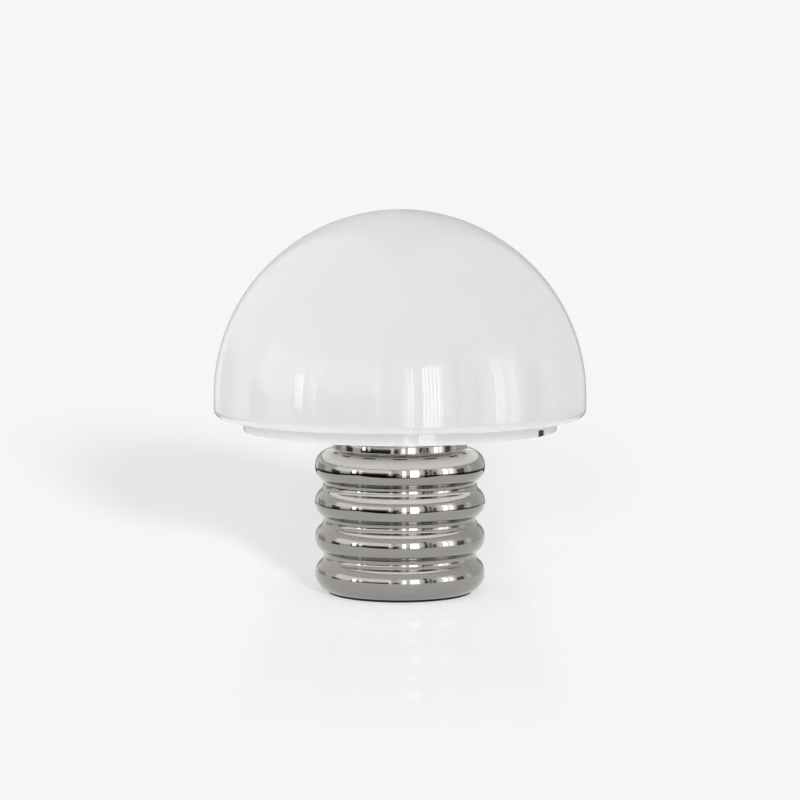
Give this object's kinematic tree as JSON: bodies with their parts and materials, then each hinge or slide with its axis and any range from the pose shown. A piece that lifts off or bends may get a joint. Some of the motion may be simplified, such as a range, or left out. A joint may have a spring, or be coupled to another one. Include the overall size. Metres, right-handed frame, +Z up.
{
  "type": "mushroom table lamp",
  "caption": "Mushroom table lamp: a lift-off opal glass dome on a ribbed chrome base, with a lampholder, a screw-in bulb and a cord inlet at the back.",
  "frame": {"origin": "middle of the felt's underside, where the lamp stands on the table", "axes": "+Z up along the lamp's axis, -Y the front as pictured, +Y towards the cord inlet"},
  "size_m": [0.29, 0.29, 0.299],
  "materials": {
    "opal_glass": "glossy opal white, opaque when unlit",
    "mirror_chrome": "mirror-polished chrome plate",
    "black_felt": "short black felt",
    "zinc_steel": "bright zinc plate",
    "cast_iron": "rough cast, black",
    "white_enamel": "white stove enamel on pressed steel",
    "black_rubber": "soft matt black",
    "white_rubber": "white silicone",
    "white_porcelain": "glazed white porcelain",
    "brass": "bare stamped brass",
    "screw_steel": "turned steel",
    "clear_glass": "clear blown glass",
    "nickel": "thin nickel plate, satin",
    "black_vitrite": "black glass insulator",
    "solder": "dull solder",
    "filament_wire": "dark drawn wire",
    "block_plastic": "natural moulded plastic",
    "brown_sleeve": "brown insulation",
    "blue_sleeve": "blue insulation",
    "earth_sleeve": "green and yellow insulation"
  },
  "bodies": {
    "base": {"base_shell": "mirror_chrome", "felt_pad": "black_felt", "base_plate": "zinc_steel", "foot_nut": "zinc_steel", "ballast_washer": "zinc_steel", "ballast_nut": "zinc_steel", "carrier_washer": "zinc_steel", "carrier_nut": "zinc_steel", "stem_tube": "zinc_steel", "ballast_weight": "cast_iron", "shade_carrier": "white_enamel", "notch_sleeves": "black_rubber", "cord_bush": "black_rubber", "neck_seal": "black_rubber", "rim_gasket": "white_rubber", "holder_cap": "white_porcelain", "holder_skirt": "white_porcelain", "holder_insert": "white_porcelain", "screw_sleeve": "brass", "centre_contact": "brass", "holder_terminals": "brass", "earth_tag": "brass", "terminal_screws": "screw_steel", "block_screws": "screw_steel", "earth_screw": "screw_steel", "terminal_block": "block_plastic", "lead_live": "brown_sleeve", "lead_neutral": "blue_sleeve", "lead_earth": "earth_sleeve"},
    "shade": {"shade": "opal_glass"},
    "bulb_rise": {"bulb_contact": "solder"},
    "bulb": {"bulb_glass": "clear_glass", "bulb_stem": "clear_glass", "bulb_cap": "nickel", "bulb_insulator": "black_vitrite", "bulb_filament": "filament_wire", "bulb_supports": "filament_wire"}
  },
  "joints": [
    {"name": "shade_lift", "type": "slide", "parent": "base", "child": "shade", "axis": [0, 0, 1], "range_m": [0, 0.18]},
    {"name": "bulb_rise", "type": "slide", "parent": "base", "child": "bulb_rise", "axis": [0, 0, 1], "range_m": [0, 0.01462]},
    {"name": "bulb_turn", "type": "hinge", "parent": "bulb_rise", "child": "bulb", "pos_m": [0, 0, 0.17], "axis": [0, 0, 1], "range_deg": [0, 1440]}
  ],
  "couplings": [
    {"joint": "bulb_rise", "follows": "bulb_turn", "m_per_rad": 0.00057757}
  ]
}
